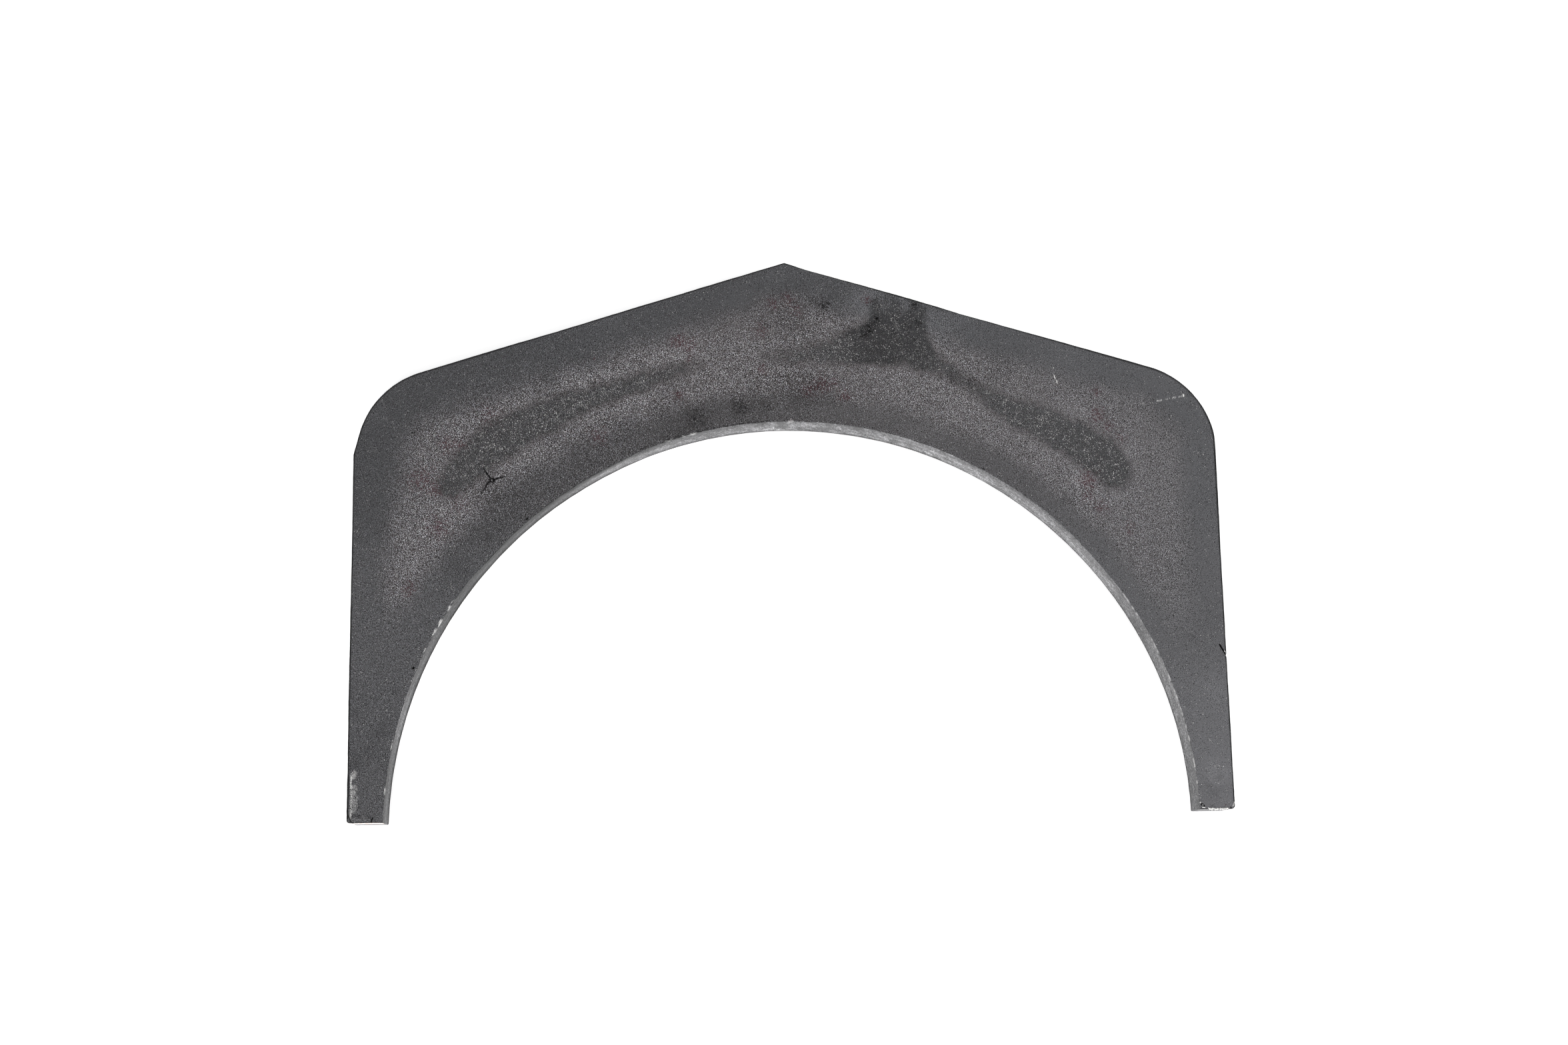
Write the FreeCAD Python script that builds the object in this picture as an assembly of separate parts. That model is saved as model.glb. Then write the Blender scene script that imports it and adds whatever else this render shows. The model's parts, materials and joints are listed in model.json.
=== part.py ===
import FreeCAD, Part
import math
import os

# A cast iron liner plate: one flat casting with a gabled top, two rounded shoulders and a
# half-round arch cut out of its lower side, so that it straddles a round shell or shaft housing.
# The plate lies on its back face. X runs across it, Y from the feet to the apex and Z up
# through its thickness. The origin is on the arch's axis, at the back face. Millimetres.

# The plate
plate_thickness = 20.0
arch_radius = 200.0
leg_width = 17.5            # from the arch's widest point to the outer side
crown_depth = 83.7          # from the arch's crown to the gable's apex
foot_rise = 2.0             # the foot ends stand this far above the arch's axis
gable_slope = 17.0          # degrees, the fall of each gable edge

# The shoulders, which aren't alike: the left arc bulges less far than its side and runs out
# to it along a straight, and the right arc runs into its side at a slight angle
left_shoulder_radius = 44.0
left_shoulder_inset = 1.4
left_runout_angle = 14.5    # degrees off the side
right_shoulder_radius = 44.8
right_shoulder_overrun = 0.4

# Corners and edges
apex_radius = 1.2
foot_corner_radius = 1.8
cast_edge_radius = 0.5      # the outline's edges, rounded as the sand left them
ground_edge_bevel = 0.3     # the arch's edges, broken by the grinder

# The hot tear, a star of three cracks round a shrinkage pit, placed from the arch's wall
tear_from_wall = 27.2
tear_angle = 130.9          # degrees about the arch's axis, from +X
pit_rim_radius = 1.6
pit_floor_radius = 0.95
pit_depth = 1.6
pit_core_radius = 0.55
tear_root_width = 0.9
tear_depth = 1.5
tear_tip_share = 0.3        # width and depth left at a crack's tip
# Each crack's bends, as distance from the pit's middle and direction in degrees
tear_arms = (
    ((2.9, 127.0), (5.3, 129.0), (7.8, 124.5)),
    ((2.6, 12.0), (4.3, 19.0), (6.4, 17.0)),
    ((3.5, 222.0), (5.6, 233.0), (8.6, 235.5)),
)

# Blow holes, as radius, depth, distance from the arch's wall and angle about its axis. The
# third one breaks through the arch's edge.
blow_holes = (
    (0.65, 1.2, 2.1, 157.3),
    (0.5, 0.9, 50.9, 79.3),
    (0.6, 0.8, 0.45, 60.5),
    (0.9, 0.8, 2.2, 1.2),
)

# The cold lap, a slanted cleft in the right side's edge, placed from the foot end
lap_height = 76.0
lap_length = 5.6
lap_width = 0.9
lap_depth = 1.3
lap_lean = 28.0             # degrees off the side
lap_tilt = 45.0             # degrees between the cleft and the front

# The nick in the left side's edge, placed from the foot end
nick_height = 112.5
nick_radius = 1.1
nick_depth = 0.6

# The left foot's outer edge, dressed by the grinder
dressing_length = 24.0
dressing_width = 4.4
dressing_depth = 0.55

# Values that follow from the sizes
half_width = arch_radius + leg_width
apex_height = arch_radius + crown_depth
slope = math.radians(gable_slope)
foot_inside = math.sqrt(arch_radius ** 2 - foot_rise ** 2)
up = FreeCAD.Vector(0, 0, 1)
clearing = 1.0              # how far a cutter stands out of the surface that it cuts
touching = 0.001            # closer than this counts as the same place


def point(x, y, z=0.0):
    return FreeCAD.Vector(x, y, z)


def about(centre, radius, degrees, z=0.0):
    angle = math.radians(degrees)
    return point(centre.x + radius * math.cos(angle), centre.y + radius * math.sin(angle), z)


def line(start, end):
    return Part.LineSegment(start, end).toShape()


def arc(centre, radius, start, end):
    middle = about(centre, radius, (start + end) / 2)
    curve = Part.Arc(about(centre, radius, start), middle, about(centre, radius, end))
    return curve.toShape()


def shoulder_centre(side, radius, inset):
    # The arc touches the gable edge, and its outermost point lies inset from the side
    x = half_width - inset - radius
    y = apex_height - x * math.tan(slope) - radius / math.cos(slope)
    return point(side * x, y)


def outline():
    left = shoulder_centre(-1, left_shoulder_radius, left_shoulder_inset)
    right = shoulder_centre(1, right_shoulder_radius, -right_shoulder_overrun)
    right_end = math.degrees(math.acos((half_width - right.x) / right_shoulder_radius))
    apex = point(0, apex_height - apex_radius / math.cos(slope))
    left_corner = point(-half_width + foot_corner_radius, foot_rise + foot_corner_radius)
    right_corner = point(half_width - foot_corner_radius, foot_rise + foot_corner_radius)

    foot_left = point(-foot_inside, foot_rise)
    foot_right = point(foot_inside, foot_rise)
    arc_left = about(left, left_shoulder_radius, 180 - left_runout_angle)
    runout_rise = (arc_left.x + half_width) / math.tan(math.radians(left_runout_angle))
    runout = point(-half_width, arc_left.y - runout_rise)
    gable_left = about(left, left_shoulder_radius, 90 + gable_slope)
    gable_right = about(right, right_shoulder_radius, 90 - gable_slope)
    arc_right = about(right, right_shoulder_radius, right_end)

    edges = [
        line(foot_left, about(left_corner, foot_corner_radius, 270)),
        arc(left_corner, foot_corner_radius, 270, 180),
        line(about(left_corner, foot_corner_radius, 180), runout),
        line(runout, arc_left),
        arc(left, left_shoulder_radius, 180 - left_runout_angle, 90 + gable_slope),
        line(gable_left, about(apex, apex_radius, 90 + gable_slope)),
        arc(apex, apex_radius, 90 + gable_slope, 90 - gable_slope),
        line(about(apex, apex_radius, 90 - gable_slope), gable_right),
        arc(right, right_shoulder_radius, 90 - gable_slope, right_end),
        line(arc_right, about(right_corner, foot_corner_radius, 0)),
        arc(right_corner, foot_corner_radius, 0, -90),
        line(about(right_corner, foot_corner_radius, -90), foot_right),
        Part.Arc(foot_right, point(0, arch_radius), foot_left).toShape(),
    ]
    return Part.Wire(edges)


def on_arch(edge):
    curve = edge.Curve
    return isinstance(curve, Part.Circle) and abs(curve.Radius - arch_radius) < touching


def on_a_face(edge):
    box = edge.BoundBox
    flat = box.ZLength < touching
    return flat and (box.ZMin < touching or abs(box.ZMin - plate_thickness) < touching)


def cast_plate():
    # The arch's edges are broken last, because the grinder passed over the cast ones
    plate = Part.Face(outline()).extrude(up * plate_thickness)
    cast_edges = [edge for edge in plate.Edges if on_a_face(edge) and not on_arch(edge)]
    plate = plate.makeFillet(cast_edge_radius, cast_edges)
    ground_edges = [edge for edge in plate.Edges if on_a_face(edge) and on_arch(edge)]
    return plate.makeChamfer(ground_edge_bevel, ground_edges)


def crack(centre, bends):
    # A cleft with a three-cornered section, whose rim narrows and whose bottom rises to its tip
    top = plate_thickness + clearing
    flare = (tear_depth + clearing) / tear_depth
    stations = [(0.0, bends[0][1])] + list(bends)
    last = len(stations) - 1
    sections = []
    for index, (distance, direction) in enumerate(stations):
        share = 1 - (1 - tear_tip_share) * index / last
        middle = about(centre, distance, direction)
        before = about(centre, *stations[max(index - 1, 0)])
        after = about(centre, *stations[min(index + 1, last)])
        across = (after - before).cross(up).normalize() * (tear_root_width * flare * share / 2)
        left = middle - across + up * top
        right = middle + across + up * top
        bottom = middle + up * (plate_thickness - tear_depth * share)
        sections.append(Part.makePolygon([left, right, bottom, left]))
    return Part.makeLoft(sections, True, True)


def hot_tear():
    centre = about(point(0, 0), arch_radius + tear_from_wall, tear_angle)
    floor = point(centre.x, centre.y, plate_thickness - pit_depth)
    height = pit_depth + clearing
    top_radius = pit_floor_radius + (pit_rim_radius - pit_floor_radius) * height / pit_depth
    pit = Part.makeCone(pit_floor_radius, top_radius, height, floor, up)
    core = Part.makeSphere(pit_core_radius, floor + up * (pit_core_radius / 2))
    cutters = [crack(centre, bends) for bends in tear_arms]
    return pit.multiFuse(cutters).cut(core)


def blow_hole(radius, depth, from_wall, degrees):
    top = about(point(0, 0), arch_radius + from_wall, degrees, plate_thickness)
    shaft = Part.makeCylinder(radius, depth - radius / 2 + clearing, top + up * clearing, -up)
    return shaft.fuse(Part.makeSphere(radius, top - up * (depth - radius / 2)))


def cold_lap():
    # A thin blade, centred on the right side's edge, that leans into it
    blade = Part.makeBox(lap_depth * 2, lap_length, lap_width, point(-lap_depth, 0, -lap_width / 2))
    blade.rotate(point(0, 0), point(0, 1, 0), lap_tilt)
    blade.rotate(point(0, 0), up, lap_lean)
    blade.translate(point(half_width, foot_rise + lap_height, plate_thickness))
    return blade


def edge_nick():
    centre = point(-half_width - nick_radius + nick_depth, foot_rise + nick_height)
    return Part.makeCylinder(nick_radius, nick_radius * 2, centre + up * (plate_thickness - nick_radius), up)


def edge_dressing():
    # A shallow flat, deepest at the outer edge, that runs up the left leg from the foot
    fall = math.degrees(math.atan2(dressing_depth, dressing_width))
    reach = dressing_width + clearing
    slab = Part.makeBox(reach, dressing_length + clearing, reach, point(-reach, 0))
    slab.rotate(point(0, 0), point(0, 1, 0), -fall)
    slab.translate(point(-half_width + dressing_width, foot_rise - clearing, plate_thickness))
    return slab


def liner_plate():
    cutters = [hot_tear(), cold_lap(), edge_nick(), edge_dressing()]
    cutters += [blow_hole(*hole) for hole in blow_holes]
    plate = cast_plate()
    for cutter in cutters:
        plate = plate.cut(cutter)
    return plate


def main():
    os.makedirs("parts", exist_ok=True)
    plate = liner_plate()
    print("valid", plate.isValid(), "solids", len(plate.Solids), "faces", len(plate.Faces))
    print("volume", round(plate.Volume), "box", plate.BoundBox)
    plate.exportStep("parts/liner_plate.step")


main()
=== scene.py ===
import json
import math
from functools import partial

import bmesh
import bpy
import numpy as np
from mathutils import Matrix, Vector, noise


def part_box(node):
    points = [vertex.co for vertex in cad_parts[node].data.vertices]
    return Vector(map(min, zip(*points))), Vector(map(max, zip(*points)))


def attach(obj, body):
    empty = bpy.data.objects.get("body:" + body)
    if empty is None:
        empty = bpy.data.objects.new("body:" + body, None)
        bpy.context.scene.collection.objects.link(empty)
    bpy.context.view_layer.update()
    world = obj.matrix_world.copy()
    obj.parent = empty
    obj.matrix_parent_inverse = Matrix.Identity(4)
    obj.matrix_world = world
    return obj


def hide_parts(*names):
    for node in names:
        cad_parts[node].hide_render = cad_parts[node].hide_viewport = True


# A cast iron liner plate, lying on its back, with its half-round arch towards the viewer.
# Lengths in the dictionaries are millimetres in the part's own frame: the origin is on the
# arch's axis at the back face, X runs across, Y from the feet to the apex, Z out of the front.

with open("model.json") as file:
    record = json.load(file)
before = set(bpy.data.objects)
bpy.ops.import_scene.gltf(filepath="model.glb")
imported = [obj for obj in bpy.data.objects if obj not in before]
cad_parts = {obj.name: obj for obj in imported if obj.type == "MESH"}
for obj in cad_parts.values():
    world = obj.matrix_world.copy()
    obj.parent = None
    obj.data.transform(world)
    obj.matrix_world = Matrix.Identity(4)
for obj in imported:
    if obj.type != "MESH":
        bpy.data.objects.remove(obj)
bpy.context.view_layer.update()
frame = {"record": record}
mm = 0.001
traceStep = 0.5                          # mm between the points of the traced outline

lowCorner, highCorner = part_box("liner_plate")
archMount = next(m for m in frame["record"]["mounts"] if m["name"] == "arch")

plate = {
    "archRadius": archMount["dims"]["r_mm"],
    "halfWidth": highCorner.x / mm,
    "thickness": highCorner.z / mm,
    "footRise": lowCorner.y / mm,
    "crownDepth": 83.7,                  # arch crown to the gable's sharp apex
    "gableSlope": 17.0,                  # degrees
    "apexRadius": 1.2,
    "footCorner": 1.8,
    "leftShoulder": 44.0, "leftInset": 1.4, "leftRunout": 14.5,
    "rightShoulder": 44.8, "rightOverrun": 0.4,
    "castEdge": 0.45,                    # rounding that the sand left on the outline
    "groundEdge": 0.2,                   # what the grinder left on the arch's edges
}

meshing = {
    "footZone": 8.0, "footStep": 0.12,   # degrees: finer columns where the feet have detail
    "bodyStep": 0.38,
    "topRows": 54, "sideRows": 8, "backRows": 10, "archRows": 14, "edgeRows": 4,
    "edgeCrowding": 0.75,                # how much the rows gather towards the edges
    "footRings": (0.8, 1.8, 3.2, 5.0, 7.0),
    "frontLayer": 1.6,                   # what lies this far below the front still belongs to it
    "finerRounds": ((1.2, 2), (0.5, 1)),  # reach round a flaw and cuts, the last for deep flaws alone
    "deepFlaw": 0.3,
}

slope = math.radians(plate["gableSlope"])
apexHeight = plate["archRadius"] + plate["crownDepth"]

# How far the cast surfaces wander from true: height and length of the waves
castWaves = {
    "outline": ((0.1, 32), (0.09, 9), (0.08, 2)),
    "top": ((0.07, 38), (0.03, 7), (0.012, 1.8)),
    "footEnd": ((0.1, 5), (0.07, 1.6)),
}
# The grinder's wander on the arch, by degrees round from the right foot: front and back edge
archWander = {
    "degrees": (0, 8, 18, 28, 38, 43, 48, 53, 63, 73, 83, 93, 103, 110, 116, 122, 130, 139, 143, 150,
                160, 170, 180),
    "front": (-0.2, 0, 0, 0.3, -0.4, -0.4, -0.1, -0.2, -0.2, 0, 0, 0, -0.2, -0.4, -1.1, -1.1, -1, -1.2,
              -0.1, -0.1, -0.3, -0.3, 0.1),
    "back": (0, 0, 0, -0.2, -0.3, -0.42, -0.42, -0.42, -0.32, -0.22, -0.32, -0.22, -0.32, -0.32, -0.6,
             -0.7, -0.6, -0.6, -0.5, -0.4, -0.3, -0.2, 0),
    "facetDepth": 0.07, "facetLength": 12.0,
}
# Slow bulges of the outline: the sides' by their height, and the gable's by its distance across
outlineWander = {
    "height": (0, 60, 130, 150, 165, 180, 186, 192),
    "left": (0, 0.15, 0, 0, 0, 0, 0, 0),
    "right": (0.05, 0, 0.1, 0.25, 0.35, 0.5, 0.4, 0.2),
    "across": (-200, -150, -110, -70, -20, 0, 12, 35, 65, 90, 130, 165, 190),
    "gable": (0.1, 0.25, 0, 0.1, 0.05, 0, -0.45, -0.1, 0.15, -0.3, 0, 0.3, 0.3),
}
# Grey of the arch's wall by degrees, partly its own and partly painted light that is brighter
# where the wall faces the lamps, and the share of it that is left at the front edge
archGreyAndLight = {
    "degrees": (0, 12, 20, 28, 36, 44, 52, 60, 68, 76, 84, 92, 108, 117, 124, 132, 148, 156, 164, 172,
                180),
    "grey": (105, 119, 126, 106, 140, 145, 143, 145, 147, 136, 127, 142, 131, 149, 104, 88, 87, 106,
             136, 109, 103),
    "shade": (0.85, 0.98, 1, 1, 0.78, 0.76, 0.76, 0.74, 0.8, 0.85, 0.82, 0.84, 0.66, 0.45, 0.52, 0.7,
              0.9, 0.93, 1, 0.85, 0.75),
}


def between(start, end, share):
    return start + (end - start) * share


def waveSum(point, waves, seed):
    value = 0.0
    for index, (height, length) in enumerate(waves):
        shift = Vector((seed, seed * 2.3 + index * 7.1, 0))
        value += height * noise.noise(Vector(point) / length + shift)
    return value


def shoulderCentre(side, radius, inset):
    x = plate["halfWidth"] - inset - radius
    return side * x, apexHeight - x * math.tan(slope) - radius / math.cos(slope)


leftCentre = shoulderCentre(-1, plate["leftShoulder"], plate["leftInset"])
rightCentre = shoulderCentre(1, plate["rightShoulder"], -plate["rightOverrun"])


def arcPoints(centre, radius, start, end, count=None):
    # A close row of points, or as many steps as asked for
    count = count or max(4, int(abs(math.radians(end - start)) * radius / traceStep))
    angles = np.radians(np.linspace(start, end, count + 1))
    return [(centre[0] + radius * math.cos(a), centre[1] + radius * math.sin(a)) for a in angles]


def outlineTrace():
    # The outer outline from the right foot round to the left one, as a close row of points
    half, fall, foot = plate["halfWidth"], plate["gableSlope"], plate["footRise"]
    apexCentre = (0, apexHeight - plate["apexRadius"] / math.cos(slope))
    rightEnd = math.degrees(math.acos((half - rightCentre[0]) / plate["rightShoulder"]))
    leftArc = arcPoints(leftCentre, plate["leftShoulder"], 90 + fall, 180 - plate["leftRunout"])
    runoutDrop = (leftArc[-1][0] + half) / math.tan(math.radians(plate["leftRunout"]))
    corners = [(half, foot)]
    corners += arcPoints(rightCentre, plate["rightShoulder"], rightEnd, 90 - fall)
    corners += arcPoints(apexCentre, plate["apexRadius"], 90 - fall, 90 + fall)
    corners += leftArc
    corners += [(-half, leftArc[-1][1] - runoutDrop), (-half, foot)]
    trace = []
    for start, end in zip(corners, corners[1:]):
        count = max(1, int(math.dist(start, end) / traceStep))
        for step in range(count):
            trace.append([between(a, b, step / count) for a, b in zip(start, end)])
    return np.array(trace + [list(corners[-1])])


def columnShares():
    # Where the sections stand along the arch, from 0 at the right foot to 1 at the left
    fine = np.arange(0, meshing["footZone"], meshing["footStep"])
    middle = 180 - 2 * meshing["footZone"]
    half = int(middle / meshing["bodyStep"] / 2)
    body = np.linspace(meshing["footZone"], 180 - meshing["footZone"], 2 * half + 1)
    return np.concatenate([fine, body, 180 - fine[::-1]]) / 180


def sectionLoops(width, castEdge):
    # One closed section for each column: over the front, down the outer side, back along the
    # underside and up the arch's wall. Gives distance from the arch, height and region.
    thick, ground, cast = plate["thickness"], plate["groundEdge"], plate["castEdge"]
    width, castEdge = width[:, None], castEdge[:, None]
    outer, flat = width - castEdge, np.zeros_like(width)
    parts = []

    def straight(name, start, end, rows, crowding=0.0):
        share = np.linspace(0, 1, rows + 1)
        share = (share - crowding * np.sin(2 * np.pi * share) / (2 * np.pi))[None, :]
        parts.append([name] + [between(a, b, share) + flat for a, b in zip(start, end)])

    def rounded(name, start, centre, reach):
        turn = np.radians(np.linspace(start, start - 90, meshing["edgeRows"] + 1))[None, 1:-1]
        swing = (np.cos(turn), np.sin(turn))
        parts.append([name] + [c + r * s + flat for c, r, s in zip(centre, reach, swing)])

    crowding = meshing["edgeCrowding"]
    straight("top", (ground, thick), (outer, thick), meshing["topRows"], crowding)
    rounded("castEdge", 90, (outer, thick - cast), (castEdge, cast))
    straight("side", (width, thick - cast), (width, cast), meshing["sideRows"])
    rounded("backEdge", 0, (outer, cast), (castEdge, cast))
    straight("back", (outer, 0), (ground, 0), meshing["backRows"], crowding)
    rounded("archEdge", 270, (ground, ground), (ground, ground))
    straight("arch", (0, ground), (0, thick - ground), meshing["archRows"])
    rounded("archEdge", 180, (ground, thick - ground), (ground, ground))
    across, height = (np.concatenate([part[axis] for part in parts], axis=1) for axis in (1, 2))
    region = np.concatenate([[part[0]] * part[1].shape[1] for part in parts])
    return across, height, region


def buildGrid():
    # The whole skin as rows of equal sections, with rings that close both foot ends
    radius, edge, thick = plate["archRadius"], plate["castEdge"], plate["thickness"]
    footStart = plate["footRise"] + edge
    trace = outlineTrace()
    traceAngle = np.degrees(np.arctan2(trace[:, 1], trace[:, 0]))
    shares = columnShares()
    innerStart = math.degrees(math.asin(footStart / radius))
    outerStart = math.degrees(math.atan2(footStart, plate["halfWidth"]))
    innerAngle, outerAngle = (s + shares * (180 - 2 * s) for s in (innerStart, outerStart))
    inner = radius * np.stack([np.cos(np.radians(innerAngle)), np.sin(np.radians(innerAngle))], axis=1)
    outer = np.stack([np.interp(outerAngle, traceAngle, trace[:, axis]) for axis in (0, 1)], axis=1)
    along = np.gradient(outer, axis=0)
    normal = np.stack([along[:, 1], -along[:, 0]], axis=1)
    normal /= np.linalg.norm(normal, axis=1)[:, None]
    width = np.linalg.norm(outer - inner, axis=1)
    direction = (outer - inner) / width[:, None]
    facing = np.clip((direction * normal).sum(axis=1), 0.5, 1)
    across, height, region = sectionLoops(width, edge / facing)
    x = inner[:, :1] + direction[:, :1] * across
    y = inner[:, 1:] + direction[:, 1:] * across
    rows = [(x, y, height)]
    turns = [math.radians(90 * step / meshing["edgeRows"]) for step in range(1, meshing["edgeRows"] + 1)]
    rings = [(edge * (1 - math.cos(turn)), footStart - edge * math.sin(turn)) for turn in turns]
    rings += [(inset, plate["footRise"]) for inset in meshing["footRings"]]
    for last in (0, -1):
        middle = (inner[last][0] + outer[last][0]) / 2
        halfSpan, halfThick = width[last] / 2, thick / 2
        ringRows = []
        for inset, ringY in rings:
            ringX = middle + (x[last] - middle) * ((halfSpan - inset) / halfSpan)
            ringZ = halfThick + (height[last] - halfThick) * ((halfThick - inset) / halfThick)
            ringRows.append((ringX, np.full_like(ringX, ringY), ringZ))
        stack = [np.array([row[axis] for row in ringRows]) for axis in range(3)]
        if last == 0:
            rows.insert(0, [part[::-1] for part in stack])
        else:
            rows.append(stack)
    grid = np.stack([np.concatenate([row[axis] for row in rows], axis=0) for axis in range(3)], axis=2)
    return grid, region, len(rings)


def roundFootCorners(grid):
    # Squeezes the square outer corner of each foot onto a quarter circle
    radius = plate["footCorner"]
    centreX, centreY = plate["halfWidth"] - radius, plate["footRise"] + radius
    for side in (-1, 1):
        dx = side * grid[..., 0] - centreX
        dy = centreY - grid[..., 1]
        inside = (dx > 0) & (dy > 0)
        squeeze = np.maximum(dx, dy) / np.maximum(np.hypot(dx, dy), 1e-9)
        grid[..., 0] = np.where(inside, side * (centreX + dx * squeeze), grid[..., 0])
        grid[..., 1] = np.where(inside, centreY - dy * squeeze, grid[..., 1])


def outlineDistance(x, y):
    # How far a point of the front lies inside the outer outline
    sides = plate["halfWidth"] - np.abs(x)
    gables = (apexHeight - np.abs(x) * math.tan(slope) - y) * math.cos(slope)
    nearest = np.minimum(sides, gables)
    for (centreX, centreY), radius, runout in (
            (leftCentre, plate["leftShoulder"], math.radians(plate["leftRunout"])),
            (rightCentre, plate["rightShoulder"], 0)):
        dx = (x - centreX) * np.sign(centreX)
        dy = y - centreY
        straight = radius - dx * math.cos(runout) - dy * math.sin(runout)
        curved = np.where(dy < dx * math.tan(runout), straight, radius - np.hypot(dx, dy))
        inCorner = (dy > -radius) & (dx > dy * math.tan(slope)) & (x * centreX > 0)
        nearest = np.where(inCorner, np.minimum(curved, nearest), nearest)
    return nearest


def mark(name, width, depth, *path, tip=1, ragged=0.4, broken=0, **shown):
    # One flaw along a path, its depth below 0 where it stands up. Its width ends as the share tip,
    # ragged is its outline's unevenness, gaps of the length broken part it, and shown says how
    # bare the metal is there, painted highlights included, how dark, painted shade in cracks, holes,
    # pits, notches and grooves included, and how rusty.
    return {"name": name, "width": width, "depth": depth, "path": path, "tip": tip,
            "ragged": ragged, "broken": broken, "shown": shown}


def archPath(start, end, offset):
    # Points along the arch's front edge between two angles, a given way outside it
    return arcPoints((0, 0), plate["archRadius"] + offset, start, end, 8)
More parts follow.
